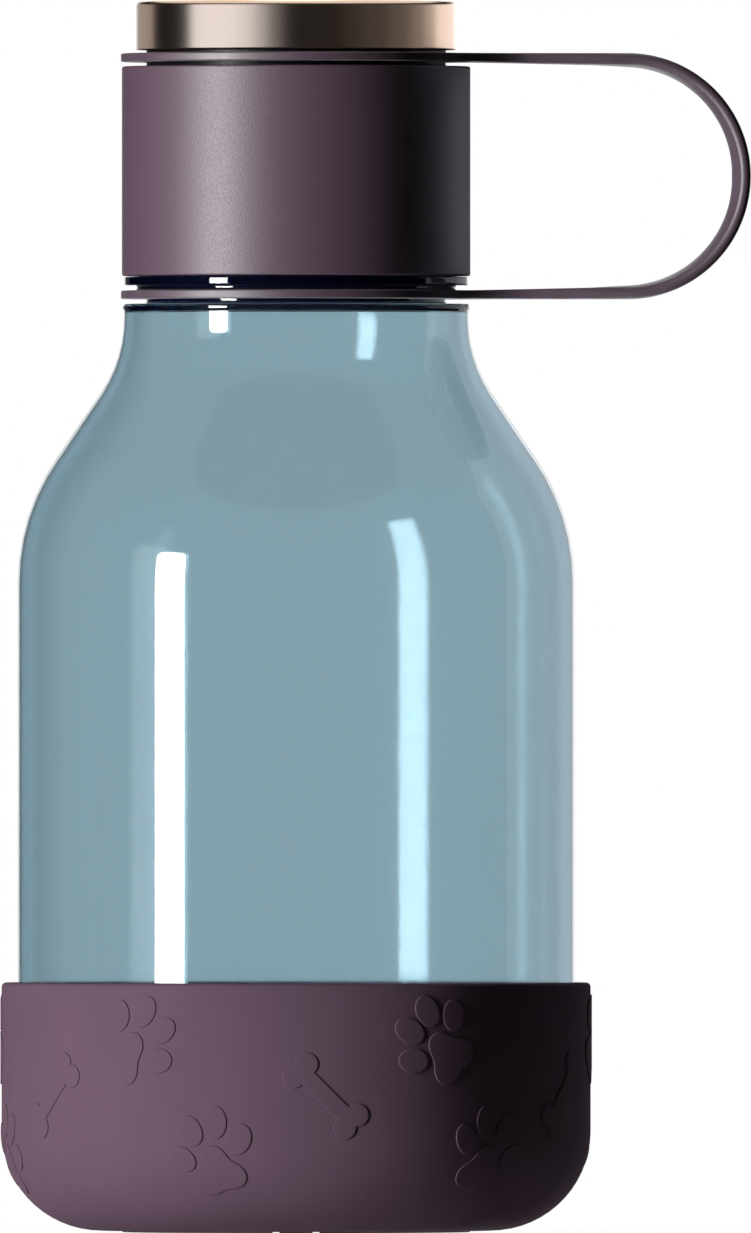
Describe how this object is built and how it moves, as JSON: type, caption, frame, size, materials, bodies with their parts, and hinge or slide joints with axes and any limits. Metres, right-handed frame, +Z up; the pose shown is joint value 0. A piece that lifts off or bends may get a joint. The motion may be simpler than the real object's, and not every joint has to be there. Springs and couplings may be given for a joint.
{
  "type": "dog travel water bottle",
  "caption": "Clear water bottle standing in a paw-print drinking bowl, with a tall screw lid, a metal top disc and a silicone carry loop tied to the neck.",
  "frame": {"origin": "on the bottle's axis, in the plane of the foot that the bowl stands on", "axes": "+Z up along the bottle's axis, +X towards the carry loop, -Y towards the side that the picture shows"},
  "size_m": [0.1501, 0.1185, 0.2466],
  "materials": {
    "clear_plastic": "clear, polished",
    "bowl_plastic": "satin, raised paw prints and bones",
    "foot_rubber": "matt",
    "strap_silicone": "matt silicone",
    "sleeve_metal": "fine satin coat",
    "cap_plastic": "moulded",
    "plug_plastic": "moulded, smooth",
    "seal_rubber": "smooth silicone",
    "disc_metal": "spun and polished"
  },
  "bodies": {
    "bowl": {"dog_bowl": "bowl_plastic", "bowl_foot": "foot_rubber"},
    "bottle": {"bottle_shell": "clear_plastic", "strap_lower_ring": "strap_silicone", "strap_loop": "strap_silicone"},
    "strap_top": {"strap_upper_ring": "strap_silicone"},
    "lid": {"thread_cap": "cap_plastic", "lid_sleeve": "sleeve_metal", "lid_plug": "plug_plastic", "plug_seal": "seal_rubber", "mouth_gasket": "seal_rubber", "disc_core": "cap_plastic", "top_disc": "disc_metal"}
  },
  "joints": [
    {"name": "bottle_lift", "type": "slide", "parent": "bowl", "child": "bottle", "axis": [0, 0, 1], "range_m": [0, 0.055]},
    {"name": "lid_lift", "type": "slide", "parent": "bottle", "child": "strap_top", "axis": [0, 0, 1], "range_m": [0, 0.02401], "deforming": ["strap_loop"]},
    {"name": "lid_turn", "type": "hinge", "parent": "strap_top", "child": "lid", "pos_m": [0, 0, 0.2125], "axis": [0, 0, 1], "range_deg": [0, 1080]}
  ],
  "couplings": [
    {"joint": "lid_lift", "follows": "lid_turn", "m_per_rad": 0.0012732}
  ]
}
